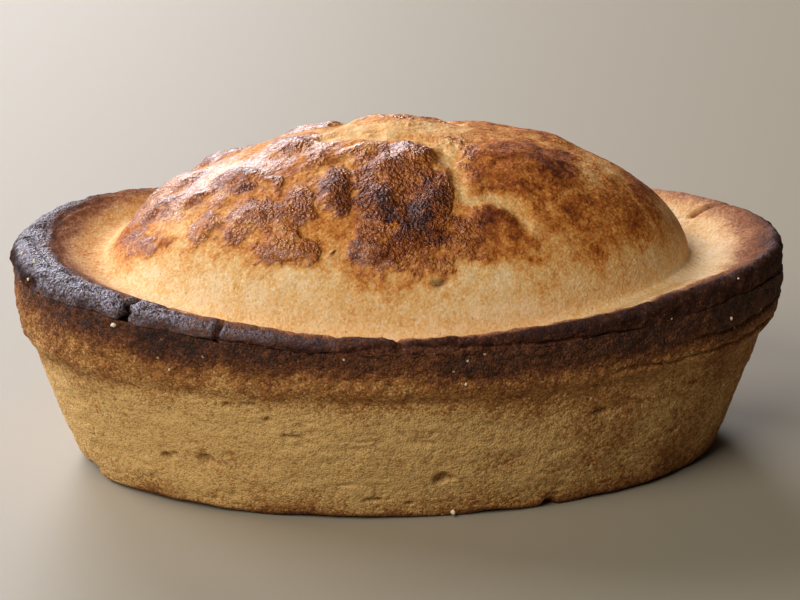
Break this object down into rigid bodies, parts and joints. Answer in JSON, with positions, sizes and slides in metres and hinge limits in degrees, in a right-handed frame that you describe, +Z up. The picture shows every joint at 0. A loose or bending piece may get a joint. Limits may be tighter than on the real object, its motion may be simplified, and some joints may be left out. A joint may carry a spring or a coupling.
{
  "type": "custard tart",
  "caption": "Oval boat-shaped custard tart of shortcrust pastry, baked shut: a flared case with a charred rim band and a domed, blistered, egg-washed lid.",
  "frame": {"origin": "middle of the flat base, on the surface that the tart stands on", "axes": "+X along the length towards the end with the sharp pale rim, +Z up, front towards -Y"},
  "size_m": [0.11, 0.069, 0.0487],
  "materials": {
    "case_crust": "matt sandy shortcrust, golden on the wall and browned to charred towards the rim",
    "lid_crust": "egg-washed crust, pale gold at its foot with glossy brown blisters and a charred edge"
  },
  "bodies": {
    "root": {"pastry_case": "case_crust", "pastry_lid": "lid_crust"}
  },
  "joints": []
}
